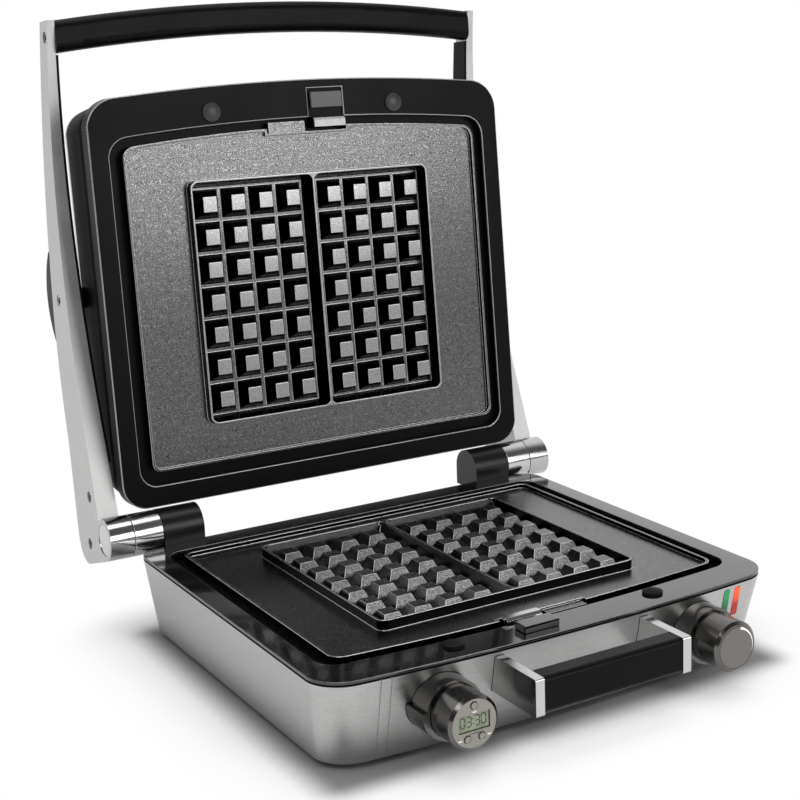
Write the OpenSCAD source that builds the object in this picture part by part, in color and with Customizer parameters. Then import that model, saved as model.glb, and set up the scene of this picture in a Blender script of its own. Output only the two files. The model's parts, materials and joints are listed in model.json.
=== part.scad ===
// Waffle maker: a floating-lid, two-waffle iron with lift-out plates.
// Millimetres.  X runs across the front, Y to the back, Z up, and the base
// stands on Z = 0.  The lid is drawn open, as it stands while it is filled.
// Most pieces are written with Y = 0 at the middle of the waffle cells, and
// the lid's pieces as if the lid were closed; placed() and opened() move them.

/* [Base] */
// Width of the base over its steel shell
base_w = 350; // [344:1:356]
// Middle of the cells to the front edge, at the centre line
base_front = 163; // [160:1:166]
// Middle of the cells to the rear edge
base_rear = 153; // [151:0.5:154]
// How far the front edge bows forward in the middle
front_bow = 7; // [3:0.5:9]
// Corner radius at the front
corner_front = 26; // [20:1:30]
// Corner radius at the rear
corner_rear = 20; // [16:1:22]
// How far the sides of the shell lean in from top to bottom
side_taper = 8; // [6:0.5:10]
// How far the front of the shell leans in
front_taper = 12; // [9:0.5:13]
// How far the rear of the shell leans in
rear_taper = 1; // [0:0.5:4]
// Sheet thickness of the steel shell
shell_t = 1.2; // [1:0.1:2]
// Height of the feet below the shell
foot_h = 5; // [4:0.5:7]
// Height of the plane where the two plates meet
seam_z = 69.6; // [68:0.2:72]
// Gap left between the closed plates
seam_gap = 0.4; // [0.3:0.1:0.8]

/* [Bezels] */
// How far the bezels lie back from the plates' meeting plane
face_drop = 5.2; // [4.4:0.2:5.6]
// Thickness of the glossy bezels
bezel_t = 2; // [1.6:0.1:2.2]
// Width of the bezels at the sides
bezel_side = 15; // [13:0.5:17]
// Middle of the cells to the front of the opening
opening_front = 135; // [134:0.5:137]
// Middle of the cells to the rear of the opening
opening_rear = 133; // [131:0.5:134]

/* [Waffle plates] */
// Spacing of the pegs across the plate
peg_px = 23; // [22:0.1:23.5]
// Spacing of the pegs from front to back
peg_py = 24.8; // [24:0.1:25]
// Pegs across one waffle
peg_nx = 4; // [3:1:4]
// Pegs from front to back
peg_ny = 7; // [5:1:7]
// Width of a peg at its tip
peg_tip = 10.8; // [9:0.2:12]
// Width of the flat valley between two pegs
valley_w = 2.6; // [2:0.2:4]
// Height of a peg
peg_h = 10; // [8:0.5:10]
// How far the peg tips lie below the cell wall
peg_drop = 1.6; // [1:0.2:2]
// Half width over the walls round the cells
block_x = 102.2; // [102:0.1:103]
// Half of the size over those walls from front to back
block_y = 92.8; // [92:0.1:94]
// Centre distance of the two pegs on either side of the divider
divider_px = 35.4; // [33:0.2:36]
// Channel between a plate and the bezel at the sides
channel_side = 9.5; // [8.5:0.5:11]
// Middle of the cells to the front edge of a plate
plate_front = 128.5; // [127:0.5:129.5]
// Middle of the cells to the rear edge of a plate
plate_rear = 122.5; // [121:0.5:124]
// How far the flat margin lies below the cell wall
margin_drop = 7.2; // [6:0.2:7.4]
// How far the thin rim round a plate lies below the cell wall
rim_drop = 4; // [3.6:0.2:5]

/* [Lid] */
// How far the lid stands open, from closed
open_angle = 94.6; // [90:0.2:100]
// Height of the hinge axis
hinge_z = 72.5; // [71:0.5:74]
// Middle of the cells to the hinge axis
hinge_y = 165.4; // [165:0.2:167]
// Middle of the cells to the front edge of the lid
lid_front = 164.5; // [162:0.5:166]
// Middle of the cells to the rear edge of the lid
lid_rear = 149; // [148:0.5:149.5]
// Depth of the lid's front frame
frame_d = 13; // [11:0.5:14]
// Depth of the black band behind the frame
band_d = 13.4; // [11:0.5:14]
// Depth of the lid's steel cover behind the band
cover_d = 45.8; // [40:0.2:46]
// Float pivot: height when the lid is closed
pivot_z = 137.5; // [135:0.5:140]
// Float pivot: distance behind the middle of the cells
pivot_y = -9.5; // [-12:0.5:-6]

/* [Arms and handle] */
// Side of the base to the inner face of an arm
arm_gap = 3; // [2.5:0.1:4]
// Thickness of an arm at the handle
arm_t_top = 5.5; // [5:0.5:8]
// Thickness of an arm at the hinge
arm_t_hinge = 16; // [14:0.5:18]
// Middle of the cells to the end of the arms
arm_front = 217; // [215:1:220]
// How far the handle bows forward in the middle
handle_bow = 11; // [6:1:14]
// Size of the handle bar from front to back
handle_w = 24; // [20:1:26]
// Thickness of the handle bar
handle_t = 18; // [15:1:18]
// Radius of the hinge barrels and knuckles
barrel_r = 16; // [14:0.2:16]
// Radius of the hinge shafts
shaft_r = 6; // [5:0.2:6.5]
// Radius of the float pivot pins
pivot_r = 4.4; // [3.6:0.2:4.8]

/* [Controls and front grip] */
// Middle of the timer to the left side of the base
timer_side = 78.5; // [75:0.5:81]
// Middle of the thermostat dial to the right side of the base
dial_side = 70.5; // [68:0.5:74]
// Height of both controls
control_z = 37; // [35:0.5:38]
// Outer radius of the sleeves round the controls
sleeve_r = 19.6; // [19.2:0.1:20]
// Radius of the timer and of the dial
control_r = 17.4; // [16.6:0.1:17.6]
// Front edge of the base to the front rim of the sleeves
sleeve_out = 11; // [9:1:13]
// Front edge of the base to the face of the timer
timer_out = 33; // [29:1:35]
// Front edge of the base to the face of the dial
dial_out = 35; // [31:1:37]
// Half width over the front grip
grip_x = 59.5; // [56:0.5:62]
// Thickness of the grip's side brackets
grip_t = 6.4; // [5:0.2:7]
// Front edge of the base to the front of the grip
grip_out = 43.5; // [39:0.5:45]
// Top of the grip brackets
grip_top = 58.5; // [57:0.5:59]
// Height of the grip brackets
grip_h = 24.5; // [22:0.5:26]
// Depth of the grip bar
grip_bar_d = 17; // [14:0.5:18]

/* [Fits] */
// Gap left between pieces that must not touch
gap = 0.3; // [0.3:0.05:0.4]
// Radial clearance of a shaft that turns
run_fit = 0.04; // [0.02:0.01:0.08]
// Radial clearance of a pin that is fixed
push_fit = 0.02; // [0.01:0.01:0.03]

/* [Hidden] */
$fn = 64;

// Heights of the closed pieces
lower_z = seam_z - seam_gap / 2;          // meeting plane of the lower plate
upper_z = seam_z + seam_gap / 2;          // meeting plane of the upper plate
bezel_z = lower_z - face_drop;            // top of the base bezel
lip_z = -face_drop - bezel_t;             // back of a bezel, from its plate
line_gap = 1.2;                           // dark line under the base bezel
shell_top = lower_z + lip_z - line_gap;
shell_bottom = foot_h;
shell_h = shell_top - shell_bottom;
front_lean = front_taper / shell_h;

// Half widths and places across the part, from the base's sides
base_x = base_w / 2;
opening_x = base_x - bezel_side;
plate_x = opening_x - channel_side;
arm_in = base_x + arm_gap;
arm_out_top = arm_in + arm_t_top;
arm_out_hinge = arm_in + arm_t_hinge;
timer_x = base_x - timer_side;
dial_x = base_x - dial_side;
past = arm_out_hinge + 6;                 // cuts that end past every side

// Fronts of the controls and of the grip, from the middle of the cells
sleeve_front = base_front + sleeve_out;
timer_front = base_front + timer_out;
dial_front = base_front + dial_out;
grip_front = base_front + grip_out;

// Tray, from the meeting plane
tray_top = lip_z - 0.2;
tray_t = 2;
well_top = -12.4;                         // floor of the channel round a plate
well_x = opening_x - 20;                  // half width of the tray's window
well_y = 112;

// Waffle plate, from the meeting plane
wall_t = 1.6;                             // top of the walls and divider
wall_valley = 1.8;                        // floor between a peg and a wall
block_r = 6.5;
cell_r = 5;
cell_floor = -peg_drop - peg_h;
block_bottom = cell_floor - 2.6;
rim_t = 2;
margin_t = 3;
pegs_x = [for (side = [-1, 1], i = [0 : peg_nx - 1])
    side * (divider_px / 2 + i * peg_px)];
pegs_y = [for (i = [0 : peg_ny - 1]) (i - (peg_ny - 1) / 2) * peg_py];
peg_base_x = (peg_px - valley_w) / 2;
peg_base_y = (peg_py - valley_w) / 2;

// Release latches
latch_x = 19;                             // button and bar, off the centre line
latch_w = 27;
latch_travel = 2.5;
notch_x = 34;                             // half width of the notch in a rim
notch_y = plate_front - 4;

// Lid
frame_wall = 2.5;
band_inset = frame_wall + 0.2;
band_z = -face_drop - frame_d;            // back edge of the frame's side
cover_z = band_z - band_d;
cover_taper = 4;
cover_t = 1;
lug_r = 8;
lug_in = base_x - 25;

// Arms, drawn closed: underside and top are quadratic curves
arm_under = [[-arm_front, 113], [-70, 146], [118, 91]];
arm_top = [[-arm_front, 131], [-30, 170.5], [100, 140]];
arm_heel = [[165, 133], [190, 131], [191, 112]];
arm_slope = (arm_out_hinge - arm_out_top) / (hinge_y + arm_front);
seat_z = 152.8;                           // flat under the lock slide
slide_travel = 6;
handle_y = -(arm_front - handle_w / 2);
handle_z = 122;
handle_r = (pow(arm_in, 2) + pow(handle_bow, 2)) / (2 * handle_bow);
handle_span = asin(arm_in / handle_r);
liner_t = 2;

// Hinges
barrel_in = base_x + 0.8;
knuckle_in = base_x - 54;
knuckle_out = base_x - 22;
collar_in = knuckle_out + gap;
collar_out = barrel_in - 0.5;
bush_r = shaft_r + 2.5;

// Where the parts stand: the origin is at the middle of the whole outline
lock_peak = 167.5;
rear_most = hinge_y + cos(open_angle) * (-12 - hinge_y)
    + sin(open_angle) * (lock_peak - hinge_z);
shift_y = -(rear_most - grip_front) / 2;

module placed() {
    translate([0, shift_y, 0]) children();
}

// Turns closed pieces about the hinge to the open position
module opened() {
    placed()
        translate([0, hinge_y, hinge_z])
            rotate([-open_angle, 0, 0])
                translate([0, -hinge_y, -hinge_z]) children();
}

// Pieces of the lower half, with Z = 0 at the plates' meeting plane
module lower_half() {
    placed() translate([0, 0, lower_z]) children();
}

// The same in the lid, facing down when it is closed
module upper_half() {
    opened() translate([0, 0, upper_z]) mirror([0, 0, 1]) children();
}

// ---- Outlines ----------------------------------------------------------

function arc(cx, cy, r, a0, a1, n) =
    [for (i = [1 : n]) let (a = a0 + (a1 - a0) * i / n)
        [cx + r * cos(a), cy + r * sin(a)]];

// Rounded outline whose front edge bows forward
function bowed(hx, front, rear, rf, rr, bow, m = 10) =
    let (
        cx = hx - rf,
        tilt = atan(2 * bow / cx),
        tx = cx + rf * sin(tilt),
        cy = -front + bow + rf * cos(tilt)
    )
    concat(
        [for (i = [-m : m]) [tx * i / m, -front + bow * pow(i / m, 2)]],
        arc(cx, cy, rf, tilt - 90, 0, 9),
        arc(hx - rr, rear - rr, rr, 0, 90, 9),
        arc(rr - hx, rear - rr, rr, 90, 180, 9),
        arc(-cx, cy, rf, 180, 270 - tilt, 9)
    );

// depth is how far below its top edge the leaning shell is cut
module base_outline(inset = 0, depth = 0) {
    low = depth / shell_h;
    polygon(bowed(base_x - inset - low * side_taper,
        base_front - inset - low * front_taper,
        base_rear - inset - low * rear_taper,
        corner_front - inset / 2, corner_rear - inset / 2, front_bow));
}

module lid_outline(inset = 0) {
    polygon(bowed(base_x - inset, lid_front - inset, lid_rear - inset,
        corner_front - 2 - inset / 2, corner_rear - inset / 2, front_bow));
}

module opening_outline(inset = 0) {
    polygon(bowed(opening_x - inset, opening_front - inset,
        opening_rear - inset, 16, 14, front_bow));
}

// Outline of a plate, with the notch for its latch
module plate_outline(inset = 0) {
    difference() {
        polygon(bowed(plate_x - inset, plate_front - inset,
            plate_rear - inset, 10 - inset / 2, 7 - inset / 2, front_bow));
        translate([-notch_x - inset, -plate_front - 1])
            square([2 * (notch_x + inset),
                plate_front + 1 - notch_y + inset]);
    }
}

module slab(z0, z1) {
    translate([0, 0, z0]) linear_extrude(z1 - z0) children();
}

module box(x0, x1, y0, y1, z0, z1) {
    translate([x0, y0, z0]) cube([x1 - x0, y1 - y0, z1 - z0]);
}

module rod_x(x0, x1, y, z, r) {
    translate([x0, y, z]) rotate([0, 90, 0]) cylinder(h = x1 - x0, r = r);
}

// A rod that runs from y0 forward to y1, where y0 > y1
module rod_y(y0, y1, x, z, r) {
    translate([x, y0, z]) rotate([90, 0, 0]) cylinder(h = y0 - y1, r = r);
}

module rounded_rect(w, h, r) {
    square([w - 2 * r, h], center = true);
    square([w, h - 2 * r], center = true);
    for (x = [-1, 1], y = [-1, 1])
        translate([x * (w / 2 - r), y * (h / 2 - r)]) circle(r, $fn = 48);
}

module pair() {
    children();
    mirror([1, 0, 0]) children();
}

// ---- Base --------------------------------------------------------------

// Straight-sided body that leans in to the bottom
module leaning_body(inset, z0, z1) {
    hull() {
        slab(z1 - 0.01, z1) base_outline(inset);
        slab(z0, z0 + 0.01) base_outline(inset, shell_top - z0);
    }
}

module base_shell() {
    color("#b9b9b6") placed() difference() {
        leaning_body(0, shell_bottom, shell_top);
        leaning_body(shell_t, shell_bottom - 1, shell_top + 0.01);
        for (x = [-timer_x, dial_x])
            sleeve_rod(x, -base_front + 40, -sleeve_front, gap);
        for (side = [-1, 1])
            box(side * (grip_x - grip_t / 2) - grip_t / 2 - gap,
                side * (grip_x - grip_t / 2) + grip_t / 2 + gap,
                -base_front - 5, -base_front + 30,
                grip_top - grip_h - gap, grip_top + gap);
        for (x = [lens_x, lens_x + lens_step])
            lens_rod(x, 5, 12, gap);
        for (x = [groove_x, groove_x + groove_step])
            groove(-x);
        rod_y(base_rear + 5, base_rear - 30, inlet_x, inlet_z,
            inlet_r + gap);
    }
}

// Two fine upright grooves in the front panel, opposite the lenses
groove_x = base_x - 45;
groove_step = 7;
module groove(x) {
    w = 1;
    y = -base_front + front_bow * pow(x / (base_x - corner_front), 2);
    translate([x, y, shell_top])
        rotate([atan(front_lean), 0, 0])
            translate([-w / 2, -4, -shell_top - 4])
                cube([w, 4.6, shell_top + 8]);
}

module base_bezel() {
    color("#17181a") lower_half() difference() {
        slab(lip_z, -face_drop) base_outline();
        slab(lip_z - 1, 0) opening_outline();
        box(-latch_x - stem_x - 0.6, -latch_x + stem_x + 0.6,
            -button_y - stem_y - latch_travel - 0.6,
            -button_y + stem_y + 0.6, lip_z - 1, 0);
    }
}

// Black moulding that carries the plate: a rim, a channel and four posts
post_x = well_x - 12;
post_xy = [[-post_x, -well_y], [post_x, -well_y],
    [-post_x, well_y], [post_x, well_y]];
module tray(post_bottom) {
    difference() {
        union() {
            slab(tray_top - tray_t, tray_top) base_outline(shell_t + 1);
            slab(well_top - tray_t, tray_top) opening_outline(-tray_t);
            for (p = post_xy)
                translate([p[0], p[1], post_bottom])
                    cylinder(h = well_top - tray_t / 2 - post_bottom, r = 6);
        }
        slab(well_top, 0) opening_outline();
        box(-well_x, well_x, -well_y, well_y, well_top - 50, 0);
        for (p = post_xy)
            translate([p[0], p[1], post_bottom - 1])
                cylinder(h = 11, r = 2 + push_fit);
    }
}

module latch_slots(side) {
    x = side * latch_x;
    box(x - stem_x - 1, x + stem_x + 1,
        -button_y - stem_y - latch_travel - 1, -button_y + stem_y + 1,
        well_top - tray_t - 1, 0);
    box(x - latch_w / 2 - 1, x + latch_w / 2 + 1,
        -bar_y - bar_d / 2 - latch_travel - 1, -bar_y + bar_d / 2 + 1,
        well_top - tray_t - 1, tray_top - tray_t + 0.1);
}

module lower_plate_tray() {
    color("#1d1e20") lower_half() difference() {
        tray(cover_plate_z1 + 0.1 - lower_z);
        latch_slots(-1);
    }
}

cover_plate_z0 = foot_h + 0.6;
cover_plate_z1 = cover_plate_z0 + 2;
module bottom_cover() {
    color("#222325") placed() difference() {
        slab(cover_plate_z0, cover_plate_z1)
            base_outline(shell_t + gap, shell_top - cover_plate_z0);
        for (p = post_xy)
            translate([p[0], p[1], 0]) cylinder(h = 20, r = 2.3);
        for (x = [-90 : 12 : 90])
            box(x - 2, x + 2, -30, 30, 0, 20);
    }
}

foot_x = base_x - 57;
foot_front = 35;
foot_rear = 27;
module feet() {
    color("#202022") placed()
        for (x = [-foot_x, foot_x],
                y = [foot_front - base_front, base_rear - foot_rear])
            translate([x, y, 0]) difference() {
            union() {
                cylinder(h = cover_plate_z0 - 0.1, r = 10);
                translate([0, 0, cover_plate_z0 - 0.1])
                    cylinder(h = 0.05, r = 8);
            }
            translate([0, 0, -1]) cylinder(h = 3.5, r = 4);
        }
}

module bottom_screws() {
    color("#9a9da0") placed()
        for (p = post_xy) translate([p[0], p[1], 0]) {
            translate([0, 0, cover_plate_z0 - 1.8])
                cylinder(h = 1.7, r = 3.6);
            translate([0, 0, cover_plate_z0 - 0.2])
                cylinder(h = 10.2, r = 2);
        }
}

bumper_x = 78;
bumper_y = -143;
module bumper() {
    cylinder(h = 1.6, r = 7);
    translate([0, 0, 1.6]) intersection() {
        translate([0, 0, -16]) sphere(r = 17.4);
        cylinder(h = 5, r = 7);
    }
}

module bezel_bumpers() {
    color("#121213") lower_half() translate([0, 0, -face_drop + 0.05])
        for (x = [-bumper_x, bumper_x])
            translate([x, bumper_y]) bumper();
}

// ---- Hinges of the base ------------------------------------------------

module knuckle() {
    difference() {
        union() {
            rod_x(knuckle_in, knuckle_out, hinge_y, hinge_z, barrel_r);
            box(knuckle_in, knuckle_out, hinge_y - barrel_r, hinge_y,
                bezel_z + 0.1, hinge_z);
            box(knuckle_in, knuckle_out, base_rear + gap, hinge_y + barrel_r,
                hinge_z - barrel_r, hinge_z);
        }
        box(knuckle_in - 1, knuckle_out + 1, 0, base_rear + gap,
            0, bezel_z + 0.1);
        rod_x(shaft_in, knuckle_out + 1, hinge_y, hinge_z,
            shaft_r + push_fit);
    }
}

module collar() {
    difference() {
        rod_x(collar_in, collar_out, hinge_y, hinge_z, barrel_r);
        box(0, base_w, 0, base_rear + gap, 0, bezel_z + gap);
        rod_x(0, base_w, hinge_y, hinge_z, shaft_r + push_fit);
    }
}

shaft_in = knuckle_in + 5;
shaft_out = arm_out_hinge - 5;
module shaft() {
    rod_x(shaft_in + 0.2, shaft_out, hinge_y, hinge_z, shaft_r);
}

module hinge_knuckle_right() { color("#1b1b1d") placed() knuckle(); }
module hinge_knuckle_left() {
    color("#1b1b1d") placed() mirror([1, 0, 0]) knuckle();
}
module hinge_collar_right() { color("#d5d6d6") placed() collar(); }
module hinge_collar_left() {
    color("#d5d6d6") placed() mirror([1, 0, 0]) collar();
}
module hinge_shaft_right() { color("#a6a8a9") placed() shaft(); }
module hinge_shaft_left() {
    color("#a6a8a9") placed() mirror([1, 0, 0]) shaft();
}

// ---- Heating -----------------------------------------------------------

heater_r = 3.3;
heater_z = -23;
heater_hx = 96;
heater_hy = 72;
heater_bend = 30;
heater_legs = 26;

module heater_bend_at(x, y, a) {
    translate([x, y, 0]) rotate(a) rotate_extrude(angle = 90)
        translate([heater_bend, 0]) circle(heater_r);
}

// Tubular element: a rounded loop with two cold legs to the rear
module heater() {
    x = heater_hx - heater_bend;
    y = heater_hy - heater_bend;
    translate([0, 0, heater_z]) {
        heater_bend_at(x, -y, -90);
        heater_bend_at(-x, -y, 180);
        heater_bend_at(x, y, 0);
        heater_bend_at(-x, y, 90);
        for (side = [-1, 1]) {
            translate([side * heater_hx, -y, 0]) rotate([-90, 0, 0])
                cylinder(h = 2 * y, r = heater_r);
            translate([side * heater_legs, heater_hy, 0])
                rotate([0, side * 90, 0])
                    cylinder(h = x - heater_legs, r = heater_r);
            translate([side * heater_legs, heater_hy, 0])
                sphere(heater_r);
            translate([side * heater_legs, heater_hy, 0])
                rotate([-90, 0, 0]) cylinder(h = 24, r = heater_r);
        }
        translate([-x, -heater_hy, 0]) rotate([0, 90, 0])
            cylinder(h = 2 * x, r = heater_r);
    }
}

refl_z = heater_z - heater_r - 0.3;
refl_x = well_x - 8;
refl_y = well_y - 8;

// Aluminium pan below the element, hung from the tray
module reflector() {
    difference() {
        union() {
            box(-refl_x, refl_x, -refl_y, refl_y,
                refl_z - 1.2, well_top - tray_t - 0.2);
            box(-refl_x - 16, refl_x + 16, -refl_y - 16, refl_y + 16,
                well_top - tray_t - 1.4, well_top - tray_t - 0.2);
        }
        box(1.2 - refl_x, refl_x - 1.2, 1.2 - refl_y, refl_y - 1.2,
            refl_z, 0);
        for (p = post_xy) translate([p[0], p[1], -40])
            cylinder(h = 40, r = 6.4);
        for (side = [-1, 1])
            box(side * latch_x - 16, side * latch_x + 16,
                -refl_y - 17, -refl_y - 6, -40, 0);
    }
}

module lower_heater() { color("#6f6a66") lower_half() heater(); }
module lower_reflector() { color("#c4c6c8") lower_half() reflector(); }
module upper_heater() { color("#6f6a66") upper_half() heater(); }
module upper_reflector() { color("#c4c6c8") upper_half() reflector(); }

// ---- Electrical pieces -------------------------------------------------

module thermostat() {
    color("#d8cfc0") placed() {
        y = -base_front + 31;
        box(dial_x - 15, dial_x + 15, y, y + 22, control_z - 15,
            control_z + 15);
        rod_y(y + 1, -dial_front + 12, dial_x, control_z, 3);
        box(dial_x - 9, dial_x + 9, y + 21, y + 27, control_z - 4,
            control_z + 4);
    }
}

fuse_x = -30;
module thermal_fuse() {
    color("#c9a24b") placed() {
        z = lower_z + refl_z - 1.3;
        box(fuse_x - 16, fuse_x + 16, heater_hy - 12, heater_hy, z - 5, z);
        translate([fuse_x, heater_hy - 6, z - 11]) cylinder(h = 7, r = 5);
    }
}

module terminal_block() {
    color("#e6e2d6") placed() difference() {
        box(-34, 34, base_rear - 48, base_rear - 30, cover_plate_z1 + 0.1,
            cover_plate_z1 + 20);
        for (x = [-25.5 : 17 : 25.5])
            translate([x, base_rear - 39, cover_plate_z1 + 8])
                cylinder(h = 14, r = 3);
    }
}

inlet_x = -60;
inlet_z = 28;
inlet_r = 7.5;
// Strain relief that the mains lead leaves by; its bore is open
module cord_inlet() {
    color("#19191a") placed() difference() {
        wall = base_rear - rear_taper * (shell_top - inlet_z) / shell_h;
        union() {
            rod_y(wall + 9, wall - 9, inlet_x, inlet_z, inlet_r);
            rod_y(wall + 5, wall + 2, inlet_x, inlet_z, inlet_r + 3);
            rod_y(wall - 4.5, wall - 8, inlet_x, inlet_z, inlet_r + 3);
        }
        rod_y(wall + 20, wall - 20, inlet_x, inlet_z, 4.2);
    }
}

// ---- Front controls ----------------------------------------------------

sleeve_back = base_front - 19;
flange_r = 22.6;
crescent = [-2.6, 1.6];                   // its centre, from the tube's
crescent_r = 20;
crescent_top = 3;

// Tube with a crescent on its lower left, which a thumb pushes against
module sleeve_rod(x, y0, y1, grow = 0) {
    rod_y(y0, y1, x, control_z, sleeve_r + grow);
    intersection() {
        rod_y(y0, y1, x + crescent[0], control_z + crescent[1],
            crescent_r + grow);
        box(x - flange_r - 5, x, -base_front - 60, -base_front + 60,
            control_z - flange_r - 5, control_z + crescent_top + grow);
    }
}

module sleeve(x) {
    difference() {
        union() {
            sleeve_rod(x, -sleeve_back, -sleeve_front);
            rod_y(-sleeve_back + 2, -sleeve_back - 1, x, control_z, flange_r);
        }
        rod_y(-sleeve_back - 3, -sleeve_front - 1, x, control_z,
            control_r + gap);
        rod_y(-sleeve_back + 5, -sleeve_front - 1, x, control_z,
            4);
    }
}

module timer_sleeve() { color("#4c4d50") placed() sleeve(-timer_x); }
module dial_sleeve() { color("#4c4d50") placed() sleeve(dial_x); }

module knob_body(x, front, back) {
    bevel = 2;
    rod_y(back, front + bevel, x, control_z, control_r);
    translate([x, front + bevel, control_z]) rotate([90, 0, 0])
        cylinder(h = bevel, r1 = control_r, r2 = control_r - bevel);
}

dial_back = sleeve_back + 4;
module thermostat_dial() {
    color("#77787b") placed() difference() {
        knob_body(dial_x, -dial_front, -dial_back);
        rod_y(-dial_back + 1, -dial_front + 10, dial_x, control_z,
            3 + run_fit);
        rod_y(-dial_front + 0.8, -dial_front - 1, dial_x, control_z,
            control_r - 3.2);
    }
}

module dial_face() {
    color("#c9c9c8") placed()
        rod_y(-dial_front + 0.7, -dial_front - 0.2, dial_x, control_z,
            control_r - 3.4);
}

timer_back = sleeve_back + 4;
display_w = 21.4;
display_h = 10.4;
display_z = 0.8;
display_deep = 1.2;                       // face of the timer to the glass
button_ring = [[0, 11.4], [-5, -9], [5, -9]];
button_pit = 2.6;
press_r = 2;
press_gap = 0.15;
dish = 0.6;                               // hollow round each button
face_r = control_r - 2;
module timer_holes() {
    box(-timer_x - display_w / 2 - 0.2, -timer_x + display_w / 2 + 0.2,
        -timer_front - 1, -timer_front + button_pit,
        control_z + display_z - display_h / 2 - 0.2,
        control_z + display_z + display_h / 2 + 0.2);
    for (p = button_ring) {
        rod_y(-timer_front + button_pit, -timer_front - 1,
            -timer_x + p[0], control_z + p[1], press_r + press_gap);
        translate([-timer_x + p[0], -timer_front + dish, control_z + p[1]])
            rotate([90, 0, 0])
                cylinder(h = 2 * dish, r1 = press_r + press_gap,
                    r2 = press_r + press_gap + 2 * dish);
    }
}

module timer_body() {
    color("#55565a") placed() difference() {
        knob_body(-timer_x, -timer_front, -timer_back);
        rod_y(-timer_front + 0.9, -timer_front - 1, -timer_x, control_z,
            face_r + 0.1);
        timer_holes();
    }
}

module timer_face() {
    color("#c9c9c8") placed() difference() {
        rod_y(-timer_front + 0.85, -timer_front, -timer_x, control_z,
            face_r);
        timer_holes();
    }
}

module timer_display() {
    color("#b9c2b4") placed()
        box(-timer_x - display_w / 2, -timer_x + display_w / 2,
            -timer_front + display_deep, -timer_front + button_pit - 0.1,
            control_z + display_z - display_h / 2,
            control_z + display_z + display_h / 2);
}

module timer_press(p) {
    rod_y(-timer_front + 1.6, -timer_front - 0.3, -timer_x + p[0],
        control_z + p[1], press_r);
}

module timer_start_button() {
    color("#3a3b3d") placed() timer_press(button_ring[0]);
}
module timer_minute_button() {
    color("#3a3b3d") placed() timer_press(button_ring[1]);
}
module timer_second_button() {
    color("#3a3b3d") placed() timer_press(button_ring[2]);
}

lens_x = base_x - 43.5;
lens_step = 10;
lens_w = 5;
lens_z0 = 37;
lens_z1 = 59;
lens_r = 1.6;

// Bar with rounded corners, square to the leaning front of the shell
module lens_rod(x, proud, back, grow = 0) {
    y = -base_front + front_bow * pow(x / (base_x - corner_front), 2);
    z = (lens_z0 + lens_z1) / 2;
    translate([x, y + (shell_top - z) * front_lean, z])
        rotate([90 + atan(front_lean), 0, 0])
            translate([0, 0, -back]) linear_extrude(proud + back)
                rounded_rect(lens_w + 2 * grow, lens_z1 - lens_z0 + 2 * grow,
                    lens_r + grow);
}

module lens(x) { lens_rod(x, 0.5, 4.5); }

module ready_lens() { color("#2fa86b") placed() lens(lens_x); }
module power_lens() { color("#d8402c") placed() lens(lens_x + lens_step); }

lamp_h = 1.8;
module lamp_board() {
    color("#2d6b3f") placed() {
        y = -base_front + front_bow * 1.1 + (shell_top - lens_z0) * front_lean + 5.2;
        box(lens_x - 4, lens_x + lens_step + 6, y, y + 1.6,
            lens_z0 - 3, lens_z1 + 0.5);
        for (x = [lens_x, lens_x + lens_step])
            box(x - 1.5, x + 1.5, y - lamp_h, y + 0.5,
                lens_z0 + 2, lens_z0 + 8);
    }
}

// ---- Front grip --------------------------------------------------------

module grip_bracket(side) {
    x = side * (grip_x - grip_t / 2);
    z = grip_top - grip_h / 2;
    back = -base_front + 12;
    translate([x, 0, z]) rotate([0, 90, 0])
        translate([0, 0, -grip_t / 2]) linear_extrude(grip_t)
            translate([0, (back - grip_front) / 2])
                rounded_rect(grip_h, grip_front + back, 1.5);
    box(x - grip_t / 2 - (side > 0 ? 8 : 0),
        x + grip_t / 2 + (side < 0 ? 8 : 0),
        back - 3, back, z - 7, z + 7);
}

module grip_bracket_left() { color("#dcdddd") placed() grip_bracket(-1); }
module grip_bracket_right() { color("#dcdddd") placed() grip_bracket(1); }

module front_grip_bar() {
    w = 2 * (grip_x - grip_t) - 0.1;
    color("#161617") placed()
        translate([-w / 2, -grip_front + grip_bar_d / 2 + 0.6,
            grip_top - grip_h / 2])
            rotate([90, 0, 90]) linear_extrude(w)
                rounded_rect(grip_bar_d, grip_h - 0.8, 4);
}

// ---- Waffle plates -----------------------------------------------------

// Solids with four leaning sides: the crossing of ridges along Y and along X.
// half gives the half widths [at z0, at z1] across X and across Y.
module crossed(xs, ys, half_x, half_y, z0, z1) {
    intersection() {
        for (x = xs) translate([x, 200, 0]) rotate([90, 0, 0])
            linear_extrude(400) leaning_section(half_x, z0, z1);
        for (y = ys) translate([-200, y, 0]) rotate([90, 0, 90])
            linear_extrude(400) leaning_section(half_y, z0, z1);
    }
}

module leaning_section(half, z0, z1) {
    polygon([[-half[0], z0], [half[0], z0], [half[1], z1], [-half[1], z1]]);
}

module pegs() {
    grow = (peg_px - valley_w - peg_tip) / 2 / peg_h;
    tip_y = peg_tip * peg_py / peg_px;
    grow_y = (peg_py - valley_w - tip_y) / 2 / peg_h;
    sunk = 0.5;
    crossed(pegs_x, pegs_y,
        [peg_tip / 2 + (peg_h + sunk) * grow, peg_tip / 2],
        [tip_y / 2 + (peg_h + sunk) * grow_y, tip_y / 2],
        cell_floor - sunk, -peg_drop);
}

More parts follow.
